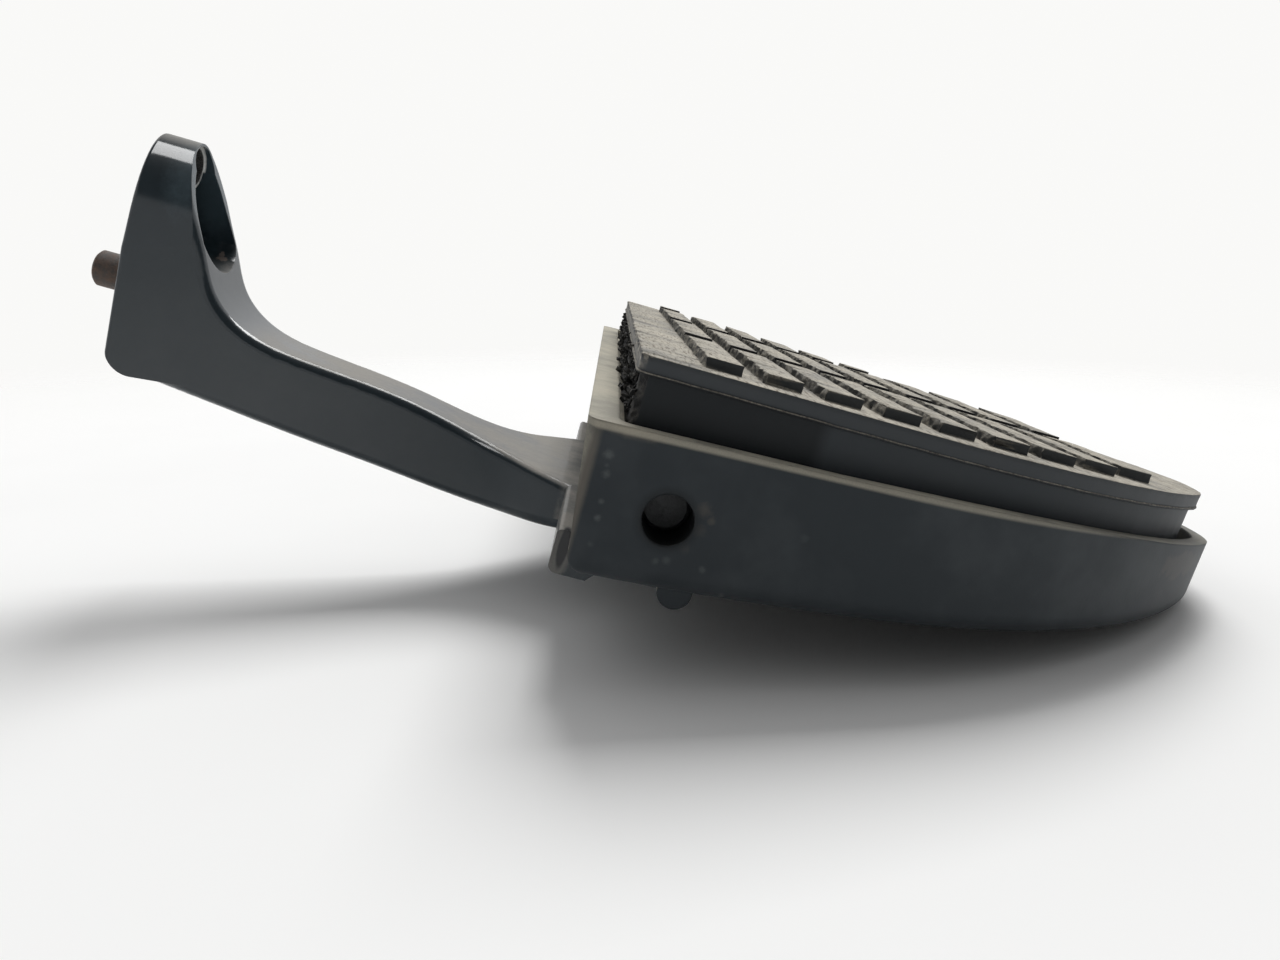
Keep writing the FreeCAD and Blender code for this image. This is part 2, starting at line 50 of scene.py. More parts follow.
def addObject(name, data):
    made = bpy.data.objects.new(name, data)
    bpy.context.scene.collection.objects.link(made)
    return made


# small helpers for node trees
def addNode(tree, kind, **settings):
    node = tree.nodes.new(kind)
    for key, value in settings.items():
        setattr(node, key, value)
    return node


def fill(tree, socket, value):  # a link where the value is another socket, else a constant
    if isinstance(value, bpy.types.NodeSocket):
        tree.links.new(value, socket)
    elif socket.type == "RGBA":
        socket.default_value = (*value[:3], 1.0)
    else:
        socket.default_value = value


def feed(tree, node, **values):
    for label, value in values.items():
        fill(tree, node.inputs[label.replace("_", " ")], value)
    return node


def mathNode(tree, operation, a, b=None, clamp=False):
    node = addNode(tree, "ShaderNodeMath", operation=operation, use_clamp=clamp)
    fill(tree, node.inputs[0], a)
    if b is not None:
        fill(tree, node.inputs[1], b)
    return node.outputs[0]


def times(tree, a, b, clamp=False):
    return mathNode(tree, "MULTIPLY", a, b, clamp)


def plus(tree, a, b):
    return mathNode(tree, "ADD", a, b)


def minus(tree, a, b, clamp=False):
    return mathNode(tree, "SUBTRACT", a, b, clamp)


def inverse(tree, mask):
    return minus(tree, 1.0, mask)


def greatest(tree, first, *others):
    for other in others:
        first = mathNode(tree, "MAXIMUM", first, other)
    return first


def vectorNode(tree, operation, a, b=None):
    node = addNode(tree, "ShaderNodeVectorMath", operation=operation)
    fill(tree, node.inputs[0], a)
    if b is not None:
        fill(tree, node.inputs["Scale" if operation == "SCALE" else 1], b)
    return node.outputs["Value" if operation in ("DOT_PRODUCT", "LENGTH", "DISTANCE") else "Vector"]


def rangeNode(tree, value, low, high, toLow=0.0, toHigh=1.0):
    node = addNode(tree, "ShaderNodeMapRange", interpolation_type="SMOOTHSTEP")
    feed(tree, node, Value=value, From_Min=low, From_Max=high, To_Min=toLow, To_Max=toHigh)
    return node.outputs[0]


def noiseNode(tree, vector, scale, detail, rough):
    node = addNode(tree, "ShaderNodeTexNoise")
    return feed(tree, node, Vector=vector, Scale=scale, Detail=detail, Roughness=rough).outputs["Fac"]


def mixColor(tree, mask, first, second):
    node = addNode(tree, "ShaderNodeMix", data_type="RGBA")
    for index, value in ((0, mask), (6, first), (7, second)):
        fill(tree, node.inputs[index], value)
    return node.outputs[2]


def mixValue(tree, mask, first, second):
    node = addNode(tree, "ShaderNodeMix", data_type="FLOAT")
    for index, value in ((0, mask), (2, first), (3, second)):
        fill(tree, node.inputs[index], value)
    return node.outputs[0]


def mixShader(tree, mask, first, second):
    node = addNode(tree, "ShaderNodeMixShader")
    for index, value in enumerate((mask, first, second)):
        fill(tree, node.inputs[index], value)
    return node.outputs[0]


def objectSpot(tree):
    return addNode(tree, "ShaderNodeTexCoord").outputs["Object"]


def splitSpot(tree, spot):
    return feed(tree, addNode(tree, "ShaderNodeSeparateXYZ"), Vector=spot).outputs


def stretchSpot(tree, spot, stretch):
    return feed(tree, addNode(tree, "ShaderNodeMapping"), Vector=spot, Scale=stretch).outputs[0]


socketKinds = {float: "NodeSocketFloat", int: "NodeSocketInt", tuple: "NodeSocketVector",
               type(None): "NodeSocketGeometry"}


def newTree(kind, name, inputs, outputs):
    tree = bpy.data.node_groups.new(name, kind)
    for side, sockets in (("INPUT", inputs), ("OUTPUT", outputs)):
        for label, value in sockets.items():
            socket = tree.interface.new_socket(name=label, in_out=side, socket_type=socketKinds[type(value)])
            if value is not None:
                socket.default_value = value
    return tree, addNode(tree, "NodeGroupInput").outputs, addNode(tree, "NodeGroupOutput").inputs


def place(tree, group, **values):
    return feed(tree, addNode(tree, "ShaderNodeGroup", node_tree=group), **values).outputs


# effects that several finishes share
bevelSamples = 8
wearShape = {"bend": (0.015, 0.12), "cloud": (5.0, 0.65), "full": 0.85}


def makeEdgeWear():
    tree, given, out = newTree("ShaderNodeTree", "edgeWear", {"Radius": 0.0012, "Scale": 300.0, "Amount": 0.5},
                               {"Mask": 0.0})
    bevel = feed(tree, addNode(tree, "ShaderNodeBevel", samples=bevelSamples), Radius=given["Radius"])
    flat = addNode(tree, "ShaderNodeNewGeometry")
    bend = inverse(tree, vectorNode(tree, "DOT_PRODUCT", bevel.outputs[0], flat.outputs["Normal"]))
    cloud = noiseNode(tree, objectSpot(tree), given["Scale"], *wearShape["cloud"])
    broken = rangeNode(tree, cloud, inverse(tree, given["Amount"]), wearShape["full"])
    fill(tree, out["Mask"], times(tree, rangeNode(tree, bend, *wearShape["bend"]), broken))
    return tree


dustShape = {"cloud": (6.0, 0.62), "level": 0.62, "levelShare": 0.5, "full": 0.66, "grit": (2600.0, 3.0, 0.7)}


def makeDustFall():
    tree, given, out = newTree("ShaderNodeTree", "dustFall",
                               {"Low": 0.35, "High": 0.95, "Scale": 90.0, "Patch": 0.5},
                               {"Mask": 0.0, "Grit": 0.0})
    coords = addNode(tree, "ShaderNodeTexCoord").outputs
    upward = vectorNode(tree, "DOT_PRODUCT", coords["Normal"], lyingUp)
    facing = rangeNode(tree, upward, given["Low"], given["High"])
    cloud = noiseNode(tree, coords["Object"], given["Scale"], *dustShape["cloud"])
    level = minus(tree, dustShape["level"], times(tree, given["Patch"], dustShape["levelShare"]))
    fill(tree, out["Mask"], times(tree, facing, rangeNode(tree, cloud, level, dustShape["full"])))
    fill(tree, out["Grit"], noiseNode(tree, coords["Object"], *dustShape["grit"]))
    return tree


grainShape = {"fine": (3.0, 0.6), "fineShare": 0.35, "broad": (4.0, 0.55), "broadShare": 0.65}


def makeSurfaceGrain():
    tree, given, out = newTree("ShaderNodeTree", "surfaceGrain", {"Fine": 1800.0, "Broad": 120.0},
                               {"Height": 0.0, "Tone": 0.0})
    spot = objectSpot(tree)
    fine = noiseNode(tree, spot, given["Fine"], *grainShape["fine"])
    broad = noiseNode(tree, spot, given["Broad"], *grainShape["broad"])
    height = plus(tree, times(tree, fine, grainShape["fineShare"]), times(tree, broad, grainShape["broadShare"]))
    fill(tree, out["Height"], height)
    fill(tree, out["Tone"], broad)
    return tree


markShape = {"cloud": (5.0, 0.7), "middle": 0.5, "swing": 4.0, "rim": (1.05, 0.7)}


def makeMark():
    tree, given, out = newTree("ShaderNodeTree", "mark",
                               {"Centre": (0.0, 0.0, 0.0), "Size": (1.0, 1.0, 1.0), "Ragged": 0.3,
                                "Scale": 600.0}, {"Mask": 0.0, "Reach": 0.0})
    spot = objectSpot(tree)
    share = vectorNode(tree, "DIVIDE", vectorNode(tree, "SUBTRACT", spot, given["Centre"]), given["Size"])
    cloud = noiseNode(tree, spot, given["Scale"], *markShape["cloud"])
    ragged = times(tree, minus(tree, cloud, markShape["middle"]), given["Ragged"])
    reach = plus(tree, vectorNode(tree, "LENGTH", share), times(tree, ragged, markShape["swing"]))
    fill(tree, out["Mask"], rangeNode(tree, reach, *markShape["rim"]))
    fill(tree, out["Reach"], reach)
    return tree


edgeWear, dustFall, surfaceGrain, mark = makeEdgeWear(), makeDustFall(), makeSurfaceGrain(), makeMark()


def placeMarks(tree, marks):
    placed = {name: place(tree, mark, **settings) for name, settings in marks.items()}
    return ({name: outputs["Mask"] for name, outputs in placed.items()},
            {name: outputs["Reach"] for name, outputs in placed.items()})


def newMaterial(name, **constants):
    material = bpy.data.materials.new(name)
    material.use_nodes = True
    tree = material.node_tree
    tree.nodes.clear()
    shader = feed(tree, addNode(tree, "ShaderNodeBsdfPrincipled"), **constants)
    feed(tree, addNode(tree, "ShaderNodeOutputMaterial"), Surface=shader.outputs[0])
    return material, tree, shader


def dustFilm(tree, settled, grit, least, gritShare):
    return times(tree, settled, plus(tree, least, times(tree, grit, gritShare)), clamp=True)


def bumpInto(tree, shader, height, strength, distance, rounding=None):
    bump = feed(tree, addNode(tree, "ShaderNodeBump"), Strength=strength, Distance=distance, Height=height)
    if rounding:
        bevel = feed(tree, addNode(tree, "ShaderNodeBevel", samples=bevelSamples), Radius=rounding)
        feed(tree, bump, Normal=bevel.outputs[0])
    feed(tree, shader, Normal=bump.outputs[0])


# dark slate paint of the arm, with dust on its crest, bare metal at the bolt seat whose bright ring is partly a
# painted highlight, a painted sheen inside the scoop, and painted shade in the bolt bore and in the slot at the
# end of the bar
armLook = {
    "paint": (0.0125, 0.0215, 0.0275), "worn": (0.019, 0.028, 0.034), "metal": (0.8, 0.8, 0.78),
    "seat": (0.085, 0.085, 0.082), "dust": (0.33, 0.31, 0.275), "rust": (0.32, 0.25, 0.21),
    "scoop": (0.055, 0.08, 0.095), "slotShade": (0.008, 0.009, 0.011), "deep": (0.02, 0.02, 0.02),
    "specular": 0.12, "gloss": 0.36, "dustRough": 0.85, "coarseRough": 0.75, "metallic": 0.35,
    "coat": 0.1, "coatWeight": 1.0, "coatFar": 0.6, "coatFade": (0.03, 0.1),
    "grain": {"Fine": 900.0, "Broad": 70.0}, "wear": {"Radius": 0.0011, "Scale": 420.0, "Amount": 0.42},
    "dustTop": {"Low": 0.68, "High": 0.95, "Scale": 60.0, "Patch": 0.95},
    "dustSide": {"Low": 0.05, "High": 0.22, "Scale": 140.0, "Patch": 0.8},
    "tone": (0.35, 0.75), "gritty": (0.38, 0.62), "boreRim": (1.0, 0.94), "seatGlintRim": (1.0, 0.93),
    "film": (0.55, 0.5), "chipLeast": 0.08, "gritHeight": 5.0, "grainHeight": 0.5,
    "bump": {"strength": 0.12, "distance": 0.0006, "rounding": 0.0006}}
armShare = {"scratch": 0.45, "caveSheen": 0.9, "junction": 0.8, "ring": 0.95, "foot": 0.7, "barEnd": 0.45,
            "mouth": 0.75, "nub": 3.0}
armMarks = {
    "foot": {"Centre": onBoard(-18.0, 72, -12), "Size": (0.0032, 0.085, 0.016), "Ragged": 0.08},
    "junction": {"Centre": onBoard(-26, 58, -12), "Size": (0.022, 0.05, 0.014), "Ragged": 0.35},
    "bore": {"Centre": (0.004, 0.0, 0.0), "Size": (0.02, 0.0051, 0.0051), "Ragged": 0.01},
    "seat": {"Centre": (0.0083, 0.0, 0.0), "Size": (0.0014, 0.0059, 0.0059), "Ragged": 0.02},
    "well": {"Centre": (0.006, 0.0, -0.008), "Size": (0.0035, 0.0095, 0.0125), "Ragged": 0.1},
    "floorStrip": {"Centre": (0.006, -0.0055, -0.0115), "Size": (0.003, 0.0032, 0.0115), "Ragged": 0.45,
                   "Scale": 420.0},
    "mouth": {"Centre": (0.012, 0.0, -0.0205), "Size": (0.0085, 0.011, 0.0062), "Ragged": 0.1},
    "caveSheen": {"Centre": (0.011, 0.0, -0.008), "Size": (0.01, 0.0125, 0.017), "Ragged": 0.06},
    "scratch": {"Centre": onBoard(-120.2, 82.9, 17.7), "Size": (0.0007, 0.0007, 0.0026), "Ragged": 0.4,
                "Scale": 1500.0},
    "gouge": {"Centre": onBoard(-119.7, 81.9, 16.1), "Size": (0.0016, 0.0013, 0.0007), "Ragged": 0.4,
              "Scale": 1500.0},
    "barEnd": {"Centre": onBoard(-18.6, 8.0, -14.2), "Size": (0.0036, 0.0015, 0.0066), "Ragged": 0.08,
               "Scale": 500.0},
    # a dark slot painted on the end of the bar: painted shade, with no dust on it
    "barSlotShade": {"Centre": onBoard(-17.4, 8.0, -12.8), "Size": (0.0012, 0.0045, 0.0052), "Ragged": 0.05,
                "Scale": 500.0},
    "nub": {"Centre": onBoard(-124.5, 63.0, 0.3), "Size": (0.0008, 0.002, 0.0006), "Ragged": 0.2,
            "Scale": 900.0}}


def makeArmPaint():
    look, share = armLook, armShare
    material, tree, shader = newMaterial("armPaint", Coat_Roughness=look["coat"],
                                         Specular_IOR_Level=look["specular"])
    grain = place(tree, surfaceGrain, **look["grain"])
    wear = place(tree, edgeWear, **look["wear"])["Mask"]
    dust = place(tree, dustFall, **look["dustTop"])
    cling = place(tree, dustFall, **look["dustSide"])["Mask"]
    masks, reaches = placeMarks(tree, armMarks)
    inside = rangeNode(tree, reaches["bore"], *look["boreRim"])
    # the ring round the bolt seat is bare metal, brightened as a painted highlight
    ring = times(tree, rangeNode(tree, reaches["seat"], *look["seatGlintRim"]), inverse(tree, inside))
    gritty = rangeNode(tree, dust["Grit"], *look["gritty"])
    scratched = greatest(tree, masks["scratch"], masks["gouge"])
    chips = times(tree, wear, plus(tree, look["chipLeast"], times(tree, masks["junction"], share["junction"])))
    bare = greatest(tree, chips, times(tree, ring, share["ring"]))

    base = mixColor(tree, rangeNode(tree, grain["Tone"], *look["tone"]), look["paint"], look["worn"])
    for layer, color in ((times(tree, masks["floorStrip"], gritty), look["seat"]),
                         (times(tree, scratched, share["scratch"]), look["rust"]),
                         # painted sheen: a lighter paint inside the scoop
                         (times(tree, masks["caveSheen"], share["caveSheen"]), look["scoop"]),
                         # painted shade inside the bolt bore, broken by grit
                         (inside, mixColor(tree, gritty, look["deep"], look["seat"])),
                         # the dark slot on the end of the bar is painted shade
                         (bare, look["metal"]), (masks["barSlotShade"], look["slotShade"])):
        base = mixColor(tree, layer, base, color)

    settled = greatest(tree, dust["Mask"], times(tree, cling, times(tree, masks["foot"], share["foot"])),
                       times(tree, masks["barEnd"], share["barEnd"]))
    settled = times(tree, settled, inverse(tree, masks["barSlotShade"]))
    hidden = greatest(tree, masks["well"], times(tree, masks["mouth"], share["mouth"]), inside)
    settled = times(tree, settled, minus(tree, 1.0, hidden, clamp=True))
    film = dustFilm(tree, settled, dust["Grit"], *look["film"])

    coarse = greatest(tree, masks["floorStrip"], inside, masks["mouth"])
    dull = mixValue(tree, film, look["gloss"], look["dustRough"])
    bald = greatest(tree, coarse, film, bare)
    polish = rangeNode(tree, splitSpot(tree, objectSpot(tree))["X"], *look["coatFade"],
                       look["coatWeight"], look["coatWeight"] * look["coatFar"])
    feed(tree, shader, Base_Color=mixColor(tree, film, base, look["dust"]),
         Roughness=mixValue(tree, coarse, dull, look["coarseRough"]),
         Coat_Weight=mixValue(tree, bald, polish, 0.0), Metallic=times(tree, bare, look["metallic"]))
    gravel = times(tree, greatest(tree, masks["floorStrip"], inside),
                   times(tree, dust["Grit"], look["gritHeight"]))
    height = plus(tree, times(tree, grain["Height"], look["grainHeight"]), gravel)
    height = plus(tree, height, times(tree, masks["nub"], share["nub"]))
    bumpInto(tree, shader, height, **look["bump"])
    return material


# dull dark paint of the tray, with dust on its rim and knocks on its near wall, painted shade in the pivot hole
# and a painted highlight down its near-left corner
trayLook = {
    "paint": (0.0205, 0.0248, 0.0288), "pale": (0.036, 0.041, 0.0455), "scuff": (0.085, 0.092, 0.094),
    "brown": (0.085, 0.074, 0.064), "dust": (0.5, 0.465, 0.375), "bare": (0.26, 0.225, 0.18),
    "deep": (0.008, 0.009, 0.01), "specular": 0.28, "tint": (0.88, 0.96, 1.0), "rough": 0.5, "dustRough": 0.92,
    "grain": {"Fine": 1500.0, "Broad": 38.0}, "wear": {"Radius": 0.0012, "Scale": 260.0, "Amount": 0.55},
    "dustTop": {"Low": 0.45, "High": 0.9, "Scale": 55.0, "Patch": 1.15},
    "dustSide": {"Low": 0.05, "High": 0.16, "Scale": 120.0, "Patch": 1.0},
    "tone": (0.42, 0.66), "patchRim": (1.2, 0.3), "cornerGlintRim": (1.3, 0.2), "film": (0.68, 0.5),
    "rimZ": 0.0153, "rimSlope": 0.0418, "lipEdge": (-0.0014, -0.0006),
    "thinFrom": 0.03, "thinTo": 0.125, "thinLeast": 0.45,
    "bump": {"strength": 0.12, "distance": 0.0006, "rounding": 0.0009}}
trayShare = {"specks": 0.8, "patch": 0.6, "corner": 0.42, "stain": 0.35, "wear": 0.4, "cling": 0.55, "lip": 0.62}
trayMarks = {
    "patch": {"Centre": onBoard(-11.8, -0.4, 15.8), "Size": (0.0078, 0.006, 0.0027), "Ragged": 0.16,
              "Scale": 300.0},
    # pale band down the rounded near-left corner: worn bare metal, and a painted highlight on the edge
    "corner": {"Centre": onBoard(-17.3, -0.1, 0), "Size": (0.0013, 0.0016, 0.024), "Ragged": 0.08,
               "Scale": 260.0},
    "stain": {"Centre": onBoard(119, 30, 13.2), "Size": (0.014, 0.012, 0.0036), "Ragged": 0.45, "Scale": 240.0},
    # painted shade in the pivot hole, kept free of dust
    "hole": {"Centre": onBoard(0, 8, 0), "Size": (0.0072, 0.03, 0.0072), "Ragged": 0.0}}
# small spots on the near wall: x, z and half size in mm, then strength
wallSpots = {
    "knocks": ((-14.1, 9.2, 0.8, 1.0), (-13.6, 5.6, 0.7, 0.8), (-13.1, 0.2, 0.5, 0.7), (-13.0, -3.0, 0.6, 0.8),
               (-12.9, -8.3, 0.5, 0.4), (-13.9, 7.2, 0.4, 0.5), (-0.1, -8.3, 0.6, 0.5), (1.9, -7.7, 0.7, 0.5),
               (8.9, -7.6, 0.6, 0.6), (14.2, -11.9, 0.5, 0.9), (26.0, 3.5, 0.7, 0.25), (66.0, -3.6, 0.6, 0.3),
               (92.0, 4.4, 0.5, 0.35)),
    "specks": ((5.9, 3.6, 1.3, 0.8), (7.9, 2.1, 0.7, 0.9), (6.2, -0.2, 1.1, 0.5), (4.6, -4.4, 0.9, 0.35)),
    "wallY": -0.4, "through": 0.003, "rim": (1.7, 0.1), "share": 0.8, "ragged": 0.5,
    "knockScale": 900.0, "speckScale": 1100.0}


def gatherSpots(tree, spots, scale):
    look, found = wallSpots, []
    for x, z, size, strength in spots:
        reach = place(tree, mark, Centre=onBoard(x, look["wallY"], z), Ragged=look["ragged"], Scale=scale,
                      Size=(size * mm, look["through"], size * mm))["Reach"]
        found.append(times(tree, rangeNode(tree, reach, *look["rim"]), strength * look["share"]))
    return greatest(tree, *found)


def makeTrayPaint():
    look, share = trayLook, trayShare
    material, tree, shader = newMaterial("trayPaint", Specular_IOR_Level=look["specular"],
                                         Specular_Tint=look["tint"])
    grain = place(tree, surfaceGrain, **look["grain"])
    wear = place(tree, edgeWear, **look["wear"])["Mask"]
    dust = place(tree, dustFall, **look["dustTop"])
    cling = place(tree, dustFall, **look["dustSide"])["Mask"]
    masks, reaches = placeMarks(tree, trayMarks)
    knocks = gatherSpots(tree, wallSpots["knocks"], wallSpots["knockScale"])
    specks = gatherSpots(tree, wallSpots["specks"], wallSpots["speckScale"])
    patch = rangeNode(tree, reaches["patch"], *look["patchRim"])
    corner = rangeNode(tree, reaches["corner"], *look["cornerGlintRim"])

    base = mixColor(tree, rangeNode(tree, grain["Tone"], *look["tone"]), look["paint"], look["pale"])
    for layer, color in ((knocks, "scuff"), (times(tree, specks, share["specks"]), "brown"),
                         (times(tree, patch, share["patch"]), "bare"),
                         (times(tree, corner, share["corner"]), "bare"),
                         (times(tree, masks["stain"], share["stain"]), "brown"),
                         (times(tree, wear, share["wear"]), "scuff"), (masks["hole"], "deep")):
        base = mixColor(tree, layer, base, look[color])

    # the dust is thinner to the right, and thick on the lip of the rim
    where = splitSpot(tree, objectSpot(tree))
    thin = rangeNode(tree, where["X"], hinge.x + look["thinFrom"], hinge.x + look["thinTo"], 1.0,
                     look["thinLeast"])
    risen = minus(tree, minus(tree, where["Z"], hinge.z + look["rimZ"]),
                  times(tree, minus(tree, where["X"], hinge.x), look["rimSlope"]))
    lip = times(tree, rangeNode(tree, risen, *look["lipEdge"]), share["lip"])
    settled = times(tree, greatest(tree, dust["Mask"], times(tree, cling, share["cling"]), lip), thin)
    film = dustFilm(tree, settled, dust["Grit"], *look["film"])
    film = times(tree, film, inverse(tree, masks["hole"]))
    feed(tree, shader, Base_Color=mixColor(tree, film, base, look["dust"]),
         Roughness=mixValue(tree, film, look["rough"], look["dustRough"]))
    bumpInto(tree, shader, grain["Height"], **look["bump"])
    return material


# rubber of the mat, dusty on top, black where it is torn, with painted shade along the cross cuts
rubberLook = {
    "rubber": (0.036, 0.043, 0.049), "bloom": (0.054, 0.059, 0.063), "dust": (0.55, 0.51, 0.425),
    "pit": (0.2, 0.165, 0.13), "torn": (0.009, 0.0095, 0.01), "shade": (0.0115, 0.0146, 0.0169),
    "specular": 0.25, "rough": 0.55, "dustRough": 0.95, "grain": {"Fine": 1300.0, "Broad": 50.0},
    "dustTop": {"Low": 0.1, "High": 0.46, "Scale": 85.0, "Patch": 1.15},
    "tone": (0.3, 0.8), "toneShare": 0.35, "edgeLow": 24.6, "edgeHigh": 26.0, "edgeShare": 0.5,
    "shadeEnd": 0.025, "shadeSoft": 0.002, "dustFrom": 0.024, "dustTo": 0.0247,
    "crumbs": (900.0, 6.0, 0.75), "crumbEdge": (0.38, 0.62),
    "streak": (1500.0, 4.0, 0.65), "streakEdge": (0.32, 0.52), "streakStretch": (1.0, 0.14, 1.0),
    "filmLeast": 0.72, "filmCrumbs": 0.28, "tornCrumbs": 0.36, "tornDust": 0.5,
    "grainHeight": 0.4, "streakHeight": 0.6, "bump": {"strength": 0.3, "distance": 0.0006}}
# the cross cuts of the ridges, in mm: they slant a little, and are wider where the rubber is torn; the dark
# lines along them are painted shade
cutLine = {"rows": (74.0, 141.0, 206.0), "from": -8.0, "slope": 4.0 / 138.0, "middle": 0.8, "lean": 0.5,
           "half": 1.7, "tornWider": 2.2, "full": 0.8, "above": 29.0}


# painted shade along each cross cut of the ridge tops
def cutShadeMask(tree, where, torn):
    slant = times(tree, minus(tree, where["X"], hinge.x + cutLine["from"] * mm), cutLine["slope"])
    slanted = minus(tree, minus(tree, where["Y"], hinge.y), slant)
    half = mixValue(tree, torn, cutLine["half"] * mm, cutLine["half"] * cutLine["tornWider"] * mm)
    cutShades = []
    for row in cutLine["rows"]:
        gap = mathNode(tree, "ABSOLUTE", minus(tree, slanted, (row + cutLine["middle"]) * mm))
        cutShades.append(rangeNode(tree, gap, half, cutLine["full"] * mm))
    above = mathNode(tree, "GREATER_THAN", where["Z"], hinge.z + cutLine["above"] * mm)
    return times(tree, greatest(tree, *cutShades), above)


def makeRubber():
    look = rubberLook
    material, tree, shader = newMaterial("matRubber", Specular_IOR_Level=look["specular"])
    grain = place(tree, surfaceGrain, **look["grain"])
    dust = place(tree, dustFall, **look["dustTop"])["Mask"]
    torn = addNode(tree, "ShaderNodeAttribute", attribute_name="torn").outputs["Fac"]
    spot = objectSpot(tree)
    where = splitSpot(tree, spot)
    edge = rangeNode(tree, where["Z"], hinge.z + look["edgeLow"] * mm, hinge.z + look["edgeHigh"] * mm)
    tone = plus(tree, times(tree, rangeNode(tree, grain["Tone"], *look["tone"]), look["toneShare"]),
                times(tree, edge, look["edgeShare"]))
    shadeEnd = hinge.x + look["shadeEnd"]
    shade = rangeNode(tree, where["X"], shadeEnd + look["shadeSoft"], shadeEnd - look["shadeSoft"])
    cutShades = cutShadeMask(tree, where, torn)
    base = mixColor(tree, tone, look["rubber"], look["bloom"])
    base = mixColor(tree, times(tree, shade, inverse(tree, edge)), base, look["shade"])
    # the torn rubber is black, and the cross cuts get the same black as painted shade
    base = mixColor(tree, greatest(tree, torn, cutShades), base, look["torn"])

    crumbs = rangeNode(tree, noiseNode(tree, spot, *look["crumbs"]), *look["crumbEdge"])
    along = stretchSpot(tree, spot, look["streakStretch"])
    streak = rangeNode(tree, noiseNode(tree, along, *look["streak"]), *look["streakEdge"])
    lying = mixColor(tree, streak, look["pit"], look["dust"])
    whole = plus(tree, look["filmLeast"], times(tree, crumbs, look["filmCrumbs"]))
    film = times(tree, dust, mixValue(tree, torn, whole, times(tree, crumbs, look["tornCrumbs"])))
    upper = rangeNode(tree, where["Z"], hinge.z + look["dustFrom"], hinge.z + look["dustTo"])
    film = times(tree, film, greatest(tree, upper, times(tree, torn, look["tornDust"])))
    film = times(tree, film, inverse(tree, cutShades))
    feed(tree, shader, Base_Color=mixColor(tree, film, base, lying),
         Roughness=mixValue(tree, film, look["rough"], look["dustRough"]))
    height = plus(tree, times(tree, grain["Height"], look["grainHeight"]), times(tree, torn, crumbs))
    height = plus(tree, height, times(tree, film, times(tree, streak, look["streakHeight"])))
    bumpInto(tree, shader, height, **look["bump"])
    return material


# bare and plated metals
evenly = (1.0, 1.0, 1.0)
metalLook = {
    "rustyPin": {"first": (0.032, 0.027, 0.024), "second": (0.12, 0.075, 0.052), "scale": 420.0,
                 "rough": (0.45, 0.75), "metallic": 0.2, "stretch": evenly, "bump": 0.4},
    "pinSteel": {"first": (0.03, 0.033, 0.035), "second": (0.07, 0.073, 0.075), "scale": 500.0,
                 "rough": (0.45, 0.7), "metallic": 0.3, "stretch": (1.0, 0.15, 1.0), "bump": 0.15},
    "springSteel": {"first": (0.035, 0.035, 0.036), "second": (0.09, 0.085, 0.08), "scale": 600.0,
                    "rough": (0.35, 0.55), "metallic": 0.8, "stretch": evenly, "bump": 0.1},
    "bushBronze": {"first": (0.3, 0.17, 0.07), "second": (0.42, 0.27, 0.12), "scale": 380.0,
                   "rough": (0.3, 0.5), "metallic": 0.9, "stretch": (1.0, 0.2, 1.0), "bump": 0.1},
    "plateSteel": {"first": (0.22, 0.22, 0.22), "second": (0.34, 0.33, 0.32), "scale": 300.0,
                   "rough": (0.4, 0.6), "metallic": 0.85, "stretch": (1.0, 0.1, 1.0), "bump": 0.1},
    "zincFastener": {"first": (0.33, 0.31, 0.26), "second": (0.48, 0.45, 0.38), "scale": 520.0,
                     "rough": (0.3, 0.55), "metallic": 0.85, "stretch": evenly, "bump": 0.12},
}
metalSurface = {"mottle": (6.0, 0.65), "mottleShare": 0.7, "fine": (4.0, 0.7), "finer": 5.0, "fineShare": 0.3,
                "edge": (0.35, 0.65), "wear": {"Radius": 0.0005, "Scale": 700.0, "Amount": 0.5},
                "wearShare": 0.6, "paler": 1.8, "palest": 0.6, "bumpDistance": 0.0003}


def makeMetal(name):
    look, surface = metalLook[name], metalSurface
    material, tree, shader = newMaterial(name, Metallic=look["metallic"])
    spot = stretchSpot(tree, objectSpot(tree), look["stretch"])
    mottle = noiseNode(tree, spot, look["scale"], *surface["mottle"])
    fine = noiseNode(tree, spot, look["scale"] * surface["finer"], *surface["fine"])
    mixed = plus(tree, times(tree, mottle, surface["mottleShare"]), times(tree, fine, surface["fineShare"]))
    mask = rangeNode(tree, mixed, *surface["edge"])
    wear = times(tree, place(tree, edgeWear, **surface["wear"])["Mask"], surface["wearShare"])
    pale = tuple(min(surface["palest"], channel * surface["paler"]) for channel in look["second"])
    base = mixColor(tree, mask, look["first"], look["second"])
    feed(tree, shader, Base_Color=mixColor(tree, wear, base, pale),
         Roughness=mixValue(tree, mask, *look["rough"]))
    bumpInto(tree, shader, plus(tree, mottle, fine), look["bump"], surface["bumpDistance"])
    return material


armPaint, trayPaint, matRubber = makeArmPaint(), makeTrayPaint(), makeRubber()
metals = {name: makeMetal(name) for name in metalLook}
nodeFinish = {"arm": armPaint, "tray": trayPaint, "mat": matRubber, "locating_pin": metals["rustyPin"],
              "bush_near": metals["bushBronze"], "bush_far": metals["bushBronze"],
              "pivot_pin": metals["pinSteel"], "pivot_clip": metals["springSteel"],
              "wave_washer": metals["springSteel"], "mat_plate": metals["plateSteel"]}
for name, node in nodes.items():  # the nuts and washers are zinc plated
    node.data.materials.clear()
    node.data.materials.append(nodeFinish.get(name, metals["zincFastener"]))
print("finishes", len(bpy.data.materials))


